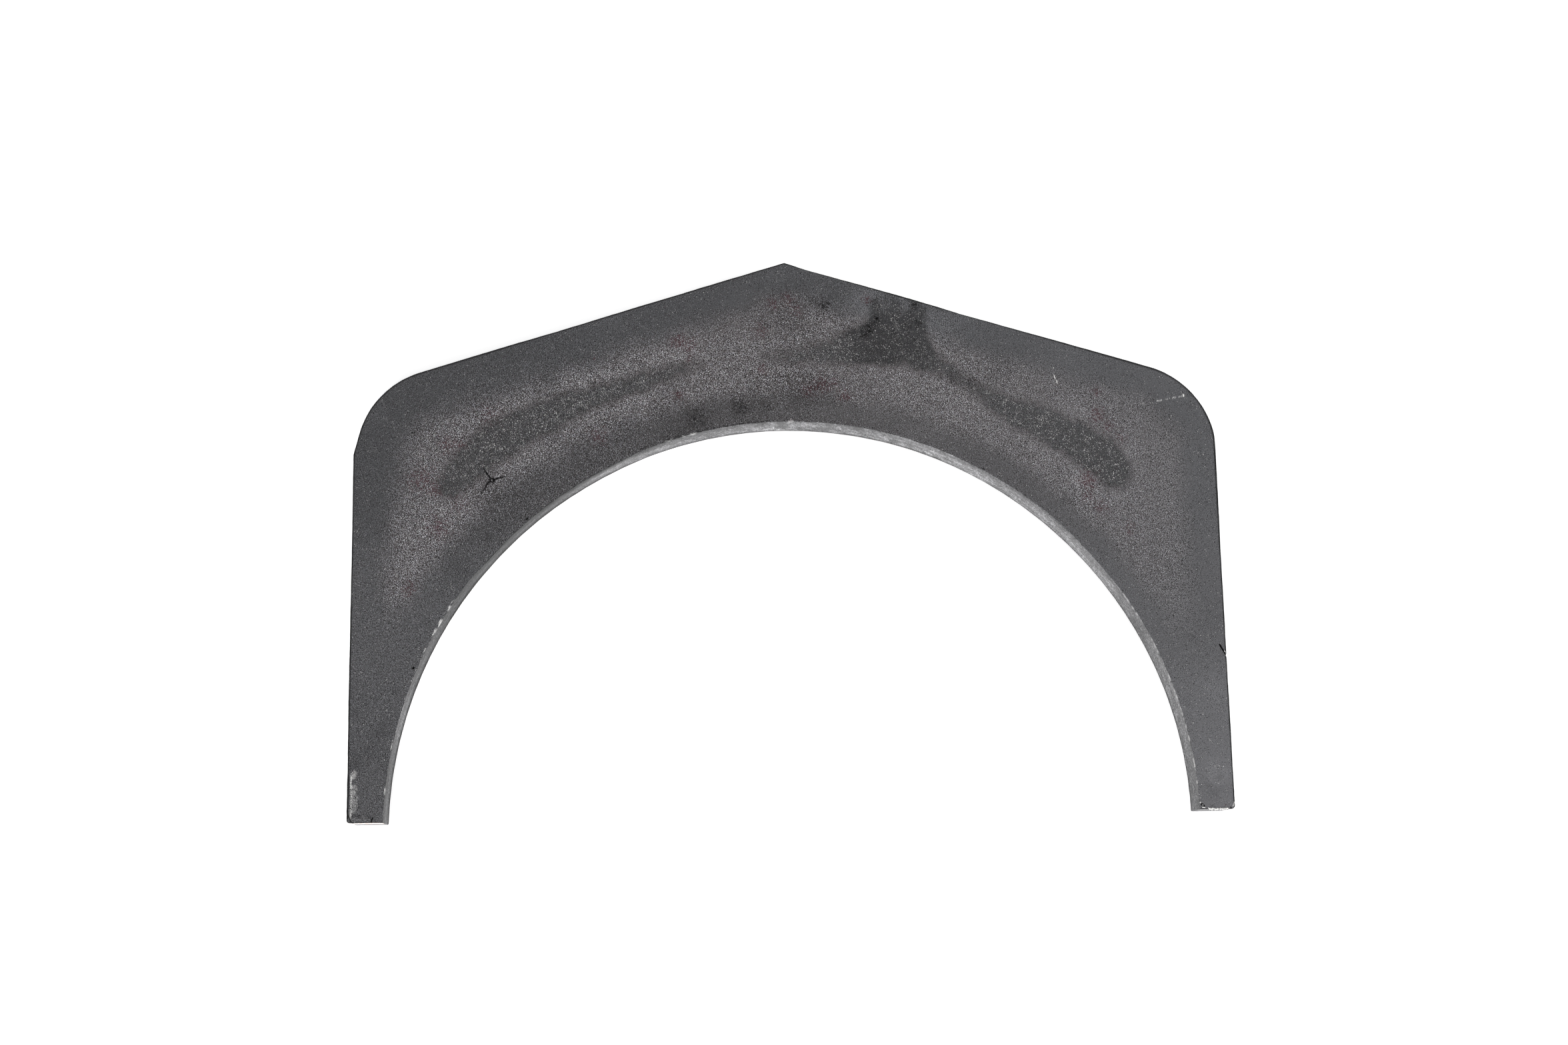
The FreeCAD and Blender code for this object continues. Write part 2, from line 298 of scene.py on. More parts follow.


# Flaws and marks on the front, in the order in which they are carved. Their black in cracks,
# holes, pits, notches and grooves is painted shade; the runs' dark is their own.
flaws = (
    # The hot tear: three cracks, and the ring-shaped pit that they start from
    mark("tearUp", 0.78, 1.3, (-149.5, 172.8), (-150.4, 174.1), (-151.2, 175.3), (-152.9, 178.1),
         tip=0.42, dark=1),
    mark("tearRight", 0.8, 1.2, (-147.3, 171.9), (-145.2, 172.45), (-142.1, 173.15), tip=0.5, dark=1),
    mark("tearDown", 0.78, 1.2, (-149.5, 170.8), (-150.9, 169.5), (-152.1, 167.2), (-153.3, 165),
         (-153.6, 164), tip=0.42, dark=1),
    mark("tearPit", 2.9, 1, (-148.6, 171.5), (-148.2, 171.45), ragged=0.1, dark=1),
    mark("tearCore", 1.35, -0.7, (-148.4, 171.45), ragged=0.2, bare=0.4, dark=-1),
    mark("tearDot", 0.5, 0.35, (-148.05, 171.65), dark=0.9),
    # Blow holes and sand pits
    mark("blowHole", 1.6, 0.9, (-186.35, 77.6), ragged=0.1, dark=1),
    mark("blowHole", 0.95, 0.7, (46.5, 253.6), (47.2, 254.2), dark=1),
    *[mark("sandPit", width, 0.4, *path, dark=dark) for width, dark, *path in (
        (0.85, 1, (45.7, 251.8)), (0.8, 1, (48, 252.3)), (0.75, 0.9, (41.6, 250.2), (42.3, 249.9)),
        (0.8, 1, (43.1, 249.3), (43.5, 248.7)), (0.8, 0.9, (45.2, 248.1)),
        (0.9, 1, (43, 247.3), (43.8, 246.8)), (0.75, 0.95, (41.7, 245.6), (40, 245)),
        (0.7, 0.95, (39.5, 244.7), (37.8, 244.2)), (0.6, 0.9, (64.4, 257.2)),
        (0.8, 0.9, (53.6, 239.2)))],
    mark("run", 0.9, 0.05, (46.6, 266.2), (47, 262), (47.1, 256.5), broken=1.6, dark=0.28),
    mark("run", 0.8, 0.05, (49.2, 265.3), (49.6, 260.7), broken=1.4, dark=0.35),
    mark("run", 0.7, 0.05, (71.7, 256.6), (69.8, 250), broken=1.4, bare=0.22),
    mark("run", 0.8, 0.1, (73.4, 257), (71.6, 250), (71.4, 246), broken=1.4, dark=0.45),
    mark("run", 0.6, 0.05, (74.4, 256), (73, 249), broken=1.2, bare=0.22),
    mark("edgeNotch", 0.7, 0.4, (98.6, 174.8), (99.5, 174.4), dark=0.8),
    mark("blowHole", 1.1, 0.5, (-188.4, 196.2), dark=0.9),
    *[mark("pit", width, depth, *path, dark=dark) for width, depth, dark, *path in (
        (0.7, 0.4, 0.9, (117.5, 167.7)), (0.7, 0.4, 0.9, (119.9, 160.9)),
        (0.8, 0.4, 0.9, (43.4, 196.5)), (0.8, 0.4, 1, (65.4, 189.3), (66, 189.1)),
        (0.9, 0.4, 0.8, (-89.9, 187.4)), (0.8, 0.3, 0.8, (-98.6, 178.6)),
        (1, 0.4, 0.9, (-130.6, 151.8), (-131, 151.2)))],
    mark("footPit", 1.35, 0.6, (201, 4.5), (201.9, 3.9), dark=0.85),
    mark("footPitLip", 0.6, -0.4, (201.55, 4.2), (201.7, 4.1), bare=0.75, dark=-1),
    mark("footPitLip", 0.75, -0.1, (200.3, 5.4), bare=0.8),
    mark("footPitLip", 0.6, -0.1, (201.3, 3.1), (202.3, 2.9), bare=0.8),
    # The cold lap in the right edge, with the torn metal beside it
    mark("coldLap", 0.8, 0.9, (214.4, 83.5), (214.8, 82.8), (216.1, 80.3), (217.9, 77.4), tip=0.9,
         dark=1),
    mark("lapTear", 0.6, 0.15, (216.6, 80.3), (217.1, 79.2), bare=1),
    # Scratches
    mark("scratch", 0.6, 0.05, (137, 222.9), (137.3, 221.6), (137.8, 220.2), (138.4, 218.8), bare=1),
    mark("scratch", 0.7, 0.05, (136.7, 226.8), bare=0.9),
    mark("scratchRow", 0.8, 0.03, (160, 204.6), (166, 206.6), (172, 206), (188, 208.8), (203, 211.6),
         broken=1.1, bare=0.5),
    mark("scratchEnd", 0.6, 0.05, (202.8, 212.4), (202.9, 211.4), bare=0.9),
    mark("scratch", 0.5, 0.03, (206.6, 36.3), (207.8, 35), (209.1, 33.9), tip=0.6, bare=0.3),
    mark("scratchRow", 0.7, 0.02, (204, 182.3), (210, 181.6), (216, 181.5), tip=0.8, broken=1,
         bare=0.25),
    mark("nick", 0.9, 0.5, (-216.9, 114.5), (-216.2, 114.3), bare=0.5),
    # Beside the arch: bare metal where the grinder broke the skin, painted highlights in broken lines
    # and specks along the front edge, a line and notches darkened with painted shade, and two chips
    mark("archSpecks", 1.1, 0.1, *archPath(146.5, 152, 0.3), broken=1.6, bare=0.8),
    mark("archLine", 0.6, 0.05, *archPath(151.5, 156.5, 0.25), broken=4, bare=0.6),
    mark("archLine", 0.55, 0.05, *archPath(157.5, 177, 0.2), broken=3, bare=0.5),
    mark("archSpecks", 0.9, 0.12, *archPath(103, 110, 0.1), broken=1, bare=0.5),
    mark("archNotch", 1.2, 0.2, *archPath(93, 112, 0.6), broken=1.3, dark=0.75),
    mark("archLine", 0.4, 0.05, *archPath(2.5, 12.5, 0.05), broken=4, bare=0.3),
    mark("archLine", 0.38, 0.03, *archPath(14, 34, 0.1), broken=1.6, bare=0.3),
    mark("archLine", 0.6, 0.05, *archPath(83.5, 99, 0.3), broken=3, dark=0.5),
    mark("edgeChip", 1.2, 0.2, (0.9, 200.2), (3, 200.2), bare=0.3, oxide=1.6),
    mark("edgeChip", 1.1, 0.2, (2, 201.2), (2, 200.4), bare=0.3, oxide=1.6),
    # The left foot's dressed edge with a line of painted shadow outside it, the lip turned over at
    # its end with painted shade at both its ends, and a scar behind it
    mark("dressedTop", 3.4, 0.15, (-214.7, 24.6), (-214.2, 26.4), bare=0.42),
    mark("dressedLine", 0.9, 0.1, (-215.7, 19), (-215.6, 25), bare=0.7),
    mark("dressedFlat", 4.2, 0.25, (-214.6, 8.5), (-214.2, 13), (-214.2, 19), bare=0.29),
    mark("dressedRim", 1.4, 0.1, (-215.6, 4.6), (-215.4, 12), (-215.3, 20), bare=0.48),
    mark("dressedGroove", 0.55, 0.25, (-216.9, 4.5), (-216.9, 25.5), dark=0.85),
    mark("lipShadow", 0.7, 0.3, (-204.9, 4.6), (-205.6, 2.8), dark=0.95),
    mark("lipFold", 0.6, 0.2, (-216.6, 6), (-215.6, 3.4), (-214.2, 2.3), dark=0.8),
    mark("footNotch", 0.7, 0.3, (-199.7, 4.6), (-199.6, 3.6), dark=0.9),
    # The right foot's burr, left by the gate
    mark("burr", 1.1, -0.35, (203, 2.6), (205.5, 2.4), (213.8, 2.3), broken=0.8, bare=1),
    mark("burr", 0.9, -0.3, (203.5, 2.2), (212.6, 2.1), broken=1.6, bare=0.9),
    mark("burr", 0.6, -0.3, (204.3, 2.45), (209, 2.25), (214.2, 2.3), ragged=0.9, bare=0.9),
    mark("cornerChip", 1, 0.2, (216.6, 3.6), (217.2, 5.2), bare=0.5, oxide=0.6),
    mark("cornerChip", 0.8, 0.4, (215.4, 2.7), dark=0.9),
)

# Heat stains, as beads along a line: x, y, half width, grey and strength. They run together.
heatStains = (
    ((-168.5, 169, 5.5, 80, 1), (-160, 179, 8, 80, 1), (-147, 190.5, 9, 81, 1), (-134, 198.5, 8, 81, 1),
     (-121, 204, 7.2, 83, 1), (-100, 213, 4.4, 83, 1), (-75, 220.5, 3.6, 82, 0.95),
     (-52, 228, 2.2, 82, 0.65), (-44, 230.5, 1, 82, 0.5)),
    ((-12, 234, 1, 88, 0.45), (5, 234, 2.6, 88, 0.7), (24, 236.5, 5.6, 85, 0.9), (38, 239.5, 9.6, 70, 1),
     (50, 242, 13.2, 68, 1), (61, 242, 11.2, 72, 1), (70, 233.5, 6.4, 73, 1), (80, 227, 3.6, 82, 0.65),
     (92, 219.5, 2.6, 86, 0.45), (104, 210.5, 3.8, 84, 0.75), (115, 204.5, 5.6, 83, 1),
     (130, 198, 7.2, 83, 1), (145, 190, 8.4, 82, 1), (159, 180.5, 9.2, 81, 1), (166, 172, 7.6, 80, 1)),
    ((44.5, 246, 5.5, 55, 1), (47, 254, 4.5, 68, 1), (46.5, 262, 1.5, 76, 0.7)),
    ((62, 248, 8, 67, 1), (67, 255, 4, 72, 1), (66, 261, 1.5, 78, 0.6)),
    ((54, 250, 8, 68, 1), (55, 260, 4, 78, 0.6)),
)
streakPatch = (57, 262, 14)              # x, y and reach of the runs above the middle stain
streakGrit = 0.1                         # what they add to the graininess

# Greys of the front's zones at its left side, middle and right side, and their graininess, which
# is the spread of the grains' greys as a share of their mean. The greys' rise from the left side
# to the right, at the feet too, is painted light.
zoneGreyAndLight = {
    "border": (81, 86, 92.5), "belt": (100, 101, 107), "strip": (78, 86, 93), "leg": (90, 92, 95),
    "foot": (-3, 0, 8),
}
zoneGrit = {
    "border": (0.11, 0.095, 0.065), "belt": (0.33, 0.315, 0.175), "strip": (0.29, 0.13, 0.062),
    "leg": (0.13, 0.095, 0.052),
}
zoneWarmth = {"border": (0, 0, 0), "belt": (0.8, 1, 0.45), "strip": (0.3, 0.6, 0.1), "leg": (0.1, 0, 0.1)}
zoneReach = {
    "sideStart": 9, "sideEnd": 24, "gableStart": (15, 9, 9), "gableEnd": (36, 24, 24),
    "widening": (145, 180), "archStart": (13, 8, 4), "archEnd": (28, 20, 15),
    "beltEnd": (72, 130), "borderEnd": (118, 162), "footEnd": (50, 90),
    "wobble": 3.5, "wobbleLength": 14, "halo": 4, "haloReach": 9,
    "stainBorder": 3.4,                  # how far a stain's border spreads to either side
}

# Local changes of grey on the front: x, y, reach and grey levels
toneBlobs = (
    (-60, 236, 10, 7), (-165, 170, 6, 5), (-135, 206, 6, 5), (-208, 206, 7, 5), (105, 194, 6, -4),
    (108, 226, 10, -4), (166, 170, 6, -7), (164, 199, 7, -3), (20, 219, 9, -7), (-2, 219, 6, -4),
    (-16, 254, 6, -4), (43, 254, 5, 8), (150, 170, 6, 12), (-196, 147, 6, -8), (-188, 158, 7, -5),
    (-175, 194, 7, -5), (-90, 200, 8, -6), (0, 206, 5, 5), (60, 194, 5, 4), (-120, 194, 6, -5),
    (-22, 208.5, 8, -8), (-46, 201, 7, -11), (8, 218, 11, -15), (13, 245, 7, -8), (-12, 218, 9, -7),
    (-60, 218, 7, -8), (-58, 194, 7, -7), (-121, 219, 8, -8), (-151, 165, 8, -10), (-181, 170, 8, -7),
    (-155, 207, 8, -9), (105, 223, 8, -6), (45, 206, 8, 10), (16, 206, 7, 6), (90, 206, 8, 5),
    (62, 207, 6, 4), (75, 194, 6, 5), (-75, 206, 7, 6), (15, 231, 6, 12), (-45, 242, 8, 6),
    (-22, 242, 10, 4), (-30, 218, 7, 6), (60, 218, 6, 5), (-105, 220, 6, 5), (46, 268, 5, 5),
    (75, 254, 6, 5), (90, 254, 7, 6), (135, 182, 7, 7), (195, 104, 9, 6), (210, 62, 7, 5),
    (210, 20, 8, 4), (-4, 276, 9, 4), (165, 158, 6, 4), (-165, 122, 8, -6), (-150, 146, 8, -5),
    (145, 234, 12, 4), (196, 198, 9, -4), (46, 259, 7, 7), (67, 194, 9, 5), (0, 256, 13, -12),
    (79, 249, 8, 8), (38, 263, 7, 12), (62, 263, 5, 8), (-180, 140, 14, 4), (-45, 252, 10, -3),
    (40, 215, 8, -5), (105, 194, 9, 4), (148, 207, 6, 5), (174, 184, 6, 5), (-146, 164, 9, -7),
    (-90, 254, 8, 5), (188, 208, 9, -4), (-118, 196, 7, -10), (-166, 132, 7, -5), (207.2, 23.8, 2.8, 7),
    (206.6, 18.2, 2.2, 7), (210.9, 14.9, 2.2, 7), (214.9, 19, 3, 5), (210.5, 17.4, 1.7, -8),
    (207.5, 9.8, 2.8, -9), (204.4, 13.4, 2.2, -6), (211.8, 12.4, 1.6, -6), (212, 105, 24, -3),
    (30, 206, 6, 4), (90, 218, 6, 4), (30, 266, 6, -4), (212, 4.5, 5, 4), (-207, 37, 5, -8),
    (-214, 31, 4, -10), (-201, 46, 4, -8),
)

# Local changes of graininess
gritBlobs = (
    (-105, 228, 14, 0.04), (-20, 252, 17, -0.09), (130, 217, 14, -0.04), (190, 190, 14, -0.05),
    (190, 215, 14, -0.03), (10, 222, 15, 0.05), (-120, 216, 10, 0.03), (30, 264, 10, 0.04),
    (75, 252, 14, 0.05), (90, 220, 10, 0.06), (-127, 231, 12, 0.05), (-45, 240, 14, -0.05),
    (-155, 217, 10, 0.05), (-50, 217, 10, -0.03), (-88, 194, 10, 0.09), (152, 164, 11, 0.07),
    (-10, 204, 26, 0.03), (-195, 128, 14, -0.04), (195, 165, 10, -0.03), (209, 18, 24, -0.018),
)

# Flecks of red-brown oxide and of soot gather round these places: x, y, reach and strength
oxideClusters = (
    (152, 168, 6, 1.2), (152, 160, 4, 1), (158, 154, 5, 0.95), (158, 202, 5, 1.1), (164, 196, 4, 1.05),
    (158, 214, 4, 0.95), (170, 190, 4, 0.95), (30, 213, 4, 1.15), (18, 219, 6, 1), (11, 216, 5, 1),
    (24, 220, 4, 0.95), (42, 264, 3, 1.05), (6, 258, 4, 1), (2, 264, 5, 0.95), (-6, 262, 4, 0.95),
    (-12, 248, 5, 0.95), (-12, 227, 4, 0.95), (-55, 242, 6, 1.08), (-49, 240, 5, 1.05),
    (-49, 233, 3, 0.95), (-177, 166, 5, 1), (-171, 190, 6, 0.96), (-164, 190, 4, 1),
    (-183, 172, 9, 0.93), (-175, 148, 9, 0.87), (-189, 117, 5, 0.95), (-55, 214, 4, 0.9),
    (-150, 205, 8, 0.8), (-164, 160, 6, 0.85), (-95, 193, 6, 0.9), (-97, 234, 2, 0.9),
    (172, 143, 4, 0.9),
)
sootClusters = (
    (46.5, 253.5, 2.3, 1), (41.5, 247, 4.5, 0.9), (45, 262, 4, 0.75), (66, 261, 3.5, 1.1),
    (68, 252, 3.5, 0.9), (20, 261, 5, 1), (15, 262.5, 3, 0.9), (-46, 203, 9, 0.8), (-24, 208.5, 6, 1),
    (-66, 207, 7, 0.7), (16, 219, 8, 0.7), (-10, 207, 5, 0.7), (84, 222, 5, 0.7), (94, 219, 4, 0.9),
)

leftLip = {"left": -216.3, "right": -205.2, "height": 3.2, "rise": 0.45}


def alongSegment(x, y, start, end):
    # The segment's length, the share of it at which the nearest point lies, and the distance
    length = math.dist(start[:2], end[:2])
    ex, ey = (end[0] - start[0]) / length, (end[1] - start[1]) / length
    along = np.clip((x - start[0]) * ex + (y - start[1]) * ey, 0, length)
    return length, along / length, np.hypot(x - start[0] - ex * along, y - start[1] - ey * along)


def pathDistance(x, y, path):
    # Distance to a path and how far along it the nearest point lies, from 0 to 1
    best, share = np.full(x.shape, 1e9), np.zeros(x.shape)
    if len(path) == 1:
        return np.hypot(x - path[0][0], y - path[0][1]), share
    total, gone = sum(math.dist(a, b) for a, b in zip(path, path[1:])), 0.0
    for start, end in zip(path, path[1:]):
        length, part, away = alongSegment(x, y, start, end)
        share = np.where(away < best, (gone + part * length) / total, share)
        best = np.minimum(best, away)
        gone += length
    return best, share


def stainFields(x, y):
    # Distance to the nearest stain, below 0 inside, with its grey and its strength there
    best = np.full(x.shape, 1e9)
    grey, strength = np.full(x.shape, 80.0), np.zeros(x.shape)
    for beads in heatStains:
        for start, end in zip(beads, beads[1:]):
            _, share, away = alongSegment(x, y, start, end)
            away -= between(start[2], end[2], share)
            nearer = away < best
            grey = np.where(nearer, between(start[3], end[3], share), grey)
            strength = np.where(nearer, between(start[4], end[4], share), strength)
            best = np.minimum(best, away)
    return best, grey, strength


def smooth(value, low, high):
    share = np.clip((value - low) / (high - low), 0, 1)
    return share * share * (3 - 2 * share)


def bump(x, y, centreX, centreY, reach):
    return np.exp(-((x - centreX) ** 2 + (y - centreY) ** 2) / reach ** 2)


def gathered(x, y, clusters):
    return np.max([force * bump(x, y, *place) for *place, force in clusters], axis=0)


def skinNoise(x, y, length, seed):
    places = (Vector((a / length + seed, b / length - seed, seed * 1.7)) for a, b in zip(x, y))
    return np.array([noise.noise(place) for place in places])


def frontFields(x, y):
    # Grey, graininess, warmth, stain and its grey for points of the front
    reach = zoneReach
    half = plate["halfWidth"]

    def acrossPlate(values):
        return np.interp(x, (-half, 0, half), values)

    length = reach["wobbleLength"]
    wobble = skinNoise(x, y, length, 3.0) + 0.5 * skinNoise(x, y, length / 2.4, 5.0)
    wobble = wobble * reach["wobble"]
    edge = outlineDistance(x, y)
    arch = np.hypot(x, y) - plate["archRadius"]
    widening = smooth(y, *reach["widening"])
    start = between(reach["sideStart"], acrossPlate(reach["gableStart"]), widening)
    end = between(reach["sideEnd"], acrossPlate(reach["gableEnd"]), widening)
    inland = smooth(edge + wobble, start, end)
    offArch = smooth(arch + wobble, acrossPlate(reach["archStart"]), acrossPlate(reach["archEnd"]))
    beltHigh, borderHigh = smooth(y, *reach["beltEnd"]), smooth(y, *reach["borderEnd"])
    fine = skinNoise(x, y, 7.0, 13.0) * 1.6 + skinNoise(x, y, 2.6, 17.0) * 1.4
    distance, stainGrey, strength = stainFields(x, y)
    fields = {}
    # Tone, graininess and warmth by zone; the tone carries painted light that brightens it from left to
    # right
    for name, zones in (("tone", zoneGreyAndLight), ("grit", zoneGrit), ("warmth", zoneWarmth)):
        leg = acrossPlate(zones["leg"])
        border = between(leg, acrossPlate(zones["border"]), borderHigh)
        strip = between(leg, acrossPlate(zones["strip"]), borderHigh)
        belt = between(leg, acrossPlate(zones["belt"]), beltHigh)
        fields[name] = between(strip, between(border, belt, inland), offArch)
    halo = smooth(distance, 0, 3) * np.exp(-np.clip(distance - 4, 0, None) / reach["haloReach"])
    fields["tone"] += reach["halo"] * halo
    # Painted light: darker at the left foot, lighter at the right one
    fields["tone"] += acrossPlate(zoneGreyAndLight["foot"]) * (1 - smooth(y, *reach["footEnd"]))
    for name, blobs in (("tone", toneBlobs), ("grit", gritBlobs)):
        for *place, change in blobs:
            fields[name] += change * bump(x, y, *place)
    border = reach["stainBorder"]
    fields["stain"] = (1 - smooth(distance + fine, -border, border)) * strength
    fields["stainTone"] = stainGrey
    return fields


def newObject(name, data):
    # Puts a mesh, a lamp or a camera in the scene
    item = bpy.data.objects.new(name, data)
    bpy.context.scene.collection.objects.link(item)
    return item


def meshFromGrid(grid):
    rows, loop = grid.shape[:2]
    first = np.arange(rows - 1)[:, None] * loop
    here = np.arange(loop)[None, :]
    after = (here + 1) % loop
    quads = np.stack([first + here, first + after, first + loop + after, first + loop + here], axis=2)
    faces = quads.reshape(-1, 4).tolist()
    faces += [list(range(loop))[::-1], list(range((rows - 1) * loop, rows * loop))]
    mesh = bpy.data.meshes.new("linerPlate")
    mesh.from_pydata((grid.reshape(-1, 3) * mm).tolist(), [], faces)
    mesh.update()
    return mesh


def wanderGrid(grid, region, ringCount):
    # Gives the true form its casting's and its grinder's unevenness
    rows, loop = grid.shape[:2]
    x, y, z = (grid[..., axis].copy() for axis in range(3))
    thick = plate["thickness"]
    reach = np.hypot(x, y)
    fromArch = reach - plate["archRadius"]
    fromEdge = outlineDistance(x, y)
    angle = np.degrees(np.arctan2(y, x))
    # Outline: along the way out from the arch's axis, dying out a few millimetres in
    outwards = np.exp(-np.clip(fromEdge, 0, None) / 2.5)
    left, right = (np.interp(y, outlineWander["height"], outlineWander[s]) for s in ("left", "right"))
    gable = np.interp(x, outlineWander["across"], outlineWander["gable"])
    bulge = np.where(y > outlineWander["height"][-1], gable, np.where(x < 0, left, right))
    for at in map(tuple, np.argwhere(outwards > 0.02)):
        wave = waveSum((x[at], y[at], z[at] * 0.35), castWaves["outline"], 3.0) + bulge[at]
        wave *= outwards[at] / reach[at]
        grid[at][:2] += wave * x[at], wave * y[at]
    # Arch: the grinder's wander between the front and the back edge, and its short flats
    front, back = (np.interp(angle, archWander["degrees"], archWander[s]) for s in ("front", "back"))
    wander = between(back, front, np.clip(z / thick, 0, 1))
    nearArch = np.exp(-np.clip(fromArch, 0, None) / 4.0)
    turn = np.radians(angle) * plate["archRadius"] / archWander["facetLength"]
    flats = 0.6 - np.abs(np.sin(turn * math.pi + 0.1 * z + 1.3 * np.sin(turn * 0.7)))
    change = wander + archWander["facetDepth"] * flats
    change *= nearArch * smooth(np.minimum(angle, 180 - angle), 0.6, 3)
    grid[..., 0] += change * x / reach
    grid[..., 1] += change * y / reach
    # Front and back: low swells of the sand mould
    for j in np.flatnonzero((region == "top") | (region == "back")):
        for i in range(rows):
            swell = waveSum((x[i, j], y[i, j], z[i, j]), castWaves["top"], 11.0)
            grid[i, j, 2] += swell if region[j] == "top" else abs(swell) * 0.4
    # Foot ends: a broken and dressed face
    for i in (*range(ringCount), *range(rows - ringCount, rows)):
        for j in range(loop):
            push = waveSum((x[i, j], z[i, j], 0), castWaves["footEnd"], 21.0)
            depth = min(thick - z[i, j], z[i, j], 1.0)
            grid[i, j, 1] += push * max(depth, 0.15)


def refineMesh(mesh):
    # Finer faces on the front round the flaws, so that they are true dents and clefts
    bm = bmesh.new()
    bm.from_mesh(mesh)
    for reach, cuts in meshing["finerRounds"]:
        bm.faces.ensure_lookup_table()
        x, y, z = np.array([f.calc_center_median() for f in bm.faces]).T / mm
        chosen = np.zeros(len(x), bool)
        for flaw in flaws:
            slight = flaw["name"].startswith(("arch", "dressed"))
            deep = abs(flaw["depth"]) > meshing["deepFlaw"]
            if not slight and (reach > 1 or deep):
                chosen |= pathDistance(x, y, flaw["path"])[0] < flaw["width"] / 2 + reach
        chosen &= z > plate["thickness"] - meshing["frontLayer"]
        edges = {edge for index in np.flatnonzero(chosen) for edge in bm.faces[int(index)].edges}
        bmesh.ops.subdivide_edges(bm, edges=list(edges), cuts=cuts, use_grid_fill=True)
    bm.to_mesh(mesh)
    bm.free()


def carveFlaws(points, normals):
    # Moves the front's points for each flaw, and says how bare each place is, painted highlights
    # included, how dark, painted shade included, and how rusty
    x, y, z = points.T.copy()
    shown = {name: np.zeros(len(x)) for name in ("bare", "dark", "oxide")}
    sink = np.zeros(len(x))
    onFront = z > plate["thickness"] - meshing["frontLayer"]
    for index, flaw in enumerate(flaws):
        width, tip = flaw["width"], flaw["tip"]
        away, share = pathDistance(x, y, flaw["path"])
        near = np.flatnonzero((away < width * 1.6 + 0.6) & onFront)
        if not len(near):
            continue
        away, share = away[near], share[near]
        ragged = 1 + flaw["ragged"] * skinNoise(x[near], y[near], 0.8 + 0.15 * width, 5.0 + index)
        half = width / 2 * (1 - (1 - tip) * share) * ragged
        inside = 1 - smooth(away / half, 0.5, 1.15)
        if flaw["broken"]:
            inside *= smooth(skinNoise(x[near], y[near], flaw["broken"], 31.0 + index), 0.02, 0.2)
        sink[near] += flaw["depth"] * inside * (1 - 0.5 * share * (tip < 0.5))
        if flaw["shown"].get("dark", 0) < 0:
            shown["dark"][near] *= 1 - inside
        for name, value in flaw["shown"].items():
            shown[name][near] = np.maximum(shown[name][near], value * inside)
    points -= normals * sink[:, None]
    return shown


def turnLip(points, shown):
    # The lip folded over the end of the left foot
    start, end = leftLip["left"], leftLip["right"]
    x, y, z = points.T.copy()
    left = np.flatnonzero((x < end + 1) & (y < 8) & (z > plate["thickness"] - 1.2))
    x, y = x[left], y[left]
    ragged, fine = skinNoise(x, y, 1.6, 41.0), skinNoise(x, y, 0.6, 43.0)
    climb = y - plate["footRise"]
    middle, halfLip = (start + end) / 2, (end - start) / 2
    across = np.clip(1 - ((x - middle + 1) / (halfLip + 1.5)) ** 2, 0, 1)
    top = leftLip["height"] * np.sqrt(across) * (1 + 0.3 * ragged)
    lip = (1 - smooth(climb, top - 0.35, top + 0.15)) * (1 - smooth(x, end - 0.2, end + 0.1))
    lip *= smooth(x, start + 0.3, start + 1.2)
    points[left, 2] += lip * leftLip["rise"] * (0.8 + 0.5 * ragged)
    rim = np.exp(-((climb - top) / 0.4) ** 2) * (across > 0.05) * (x < end)
    light = np.maximum(lip * (0.1 + 0.25 * fine), rim * 0.22)
    shown["bare"][left] = np.maximum(shown["bare"][left], light)


def buildPlate():
    grid, region, ringCount = buildGrid()
    roundFootCorners(grid)
    print("plate: true form", grid.shape)
    wanderGrid(grid, region, ringCount)
    mesh = meshFromGrid(grid)
    refineMesh(mesh)
    points, normals = (np.empty(len(mesh.vertices) * 3) for _ in range(2))
    mesh.vertices.foreach_get("co", points)
    mesh.vertices.foreach_get("normal", normals)
    points, normals = points.reshape(-1, 3) / mm, normals.reshape(-1, 3)
    x, y, z = points.T.copy()
    shown = carveFlaws(points, normals)
    turnLip(points, shown)
    mesh.vertices.foreach_set("co", (points * mm).ravel())

    middle = plate["thickness"] / 2
    onFront = z > plate["thickness"] - meshing["frontLayer"]
    edge = np.minimum(outlineDistance(x, y), (y - plate["footRise"]) * 1.5)
    nearFaces = smooth(np.abs(z - middle), middle - 1.6, middle - 0.8)
    angle = np.degrees(np.arctan2(y, x))
    fields = frontFields(x, y)
    fields["stain"] *= onFront
    # Dark scale along the rounded outer edge, with painted shade on it
    fields["rim"] = (1 - smooth(edge, 0.45, 0.95)) * nearFaces
    fields["oxide"] = np.maximum(gathered(x, y, oxideClusters) * onFront, shown["oxide"])
    fields["soot"] = gathered(x, y, sootClusters) * onFront
    fields["streak"] = bump(x, y, *streakPatch) * onFront
    fields["grit"] += streakGrit * fields["streak"]
    # Bare metal with painted highlights, and dark marks with painted shade in the flaws' hollows
    fields["bare"], fields["dark"] = np.clip(shown["bare"], 0, 1), np.clip(shown["dark"], 0, 1)
    # The wall's grey by degrees, partly painted light
    fields["archTone"] = np.interp(angle, archGreyAndLight["degrees"], archGreyAndLight["grey"]) / 100
    fields["archShade"] = np.interp(angle, archGreyAndLight["degrees"], archGreyAndLight["shade"])
    fields["tone"], fields["stainTone"] = fields["tone"] / 100, fields["stainTone"] / 100
    for name, values in fields.items():
        field = mesh.attributes.new(name, "FLOAT", "POINT")
        field.data.foreach_set("value", values.astype(np.float32))
    mesh.update()
    triangles = sum(len(face.vertices) - 2 for face in mesh.polygons)
    print("plate:", len(mesh.polygons), "faces,", triangles, "triangles")
    return newObject("linerPlate", mesh)


# Materials

def linear(hexColour):
    channels = [int(hexColour[i:i + 2], 16) / 255 for i in (1, 3, 5)]
    return [c / 12.92 if c <= 0.04045 else ((c + 0.055) / 1.055) ** 2.4 for c in channels] + [1.0]


screenPower = 2.2                        # turns a grey as a screen shows it into the shader's


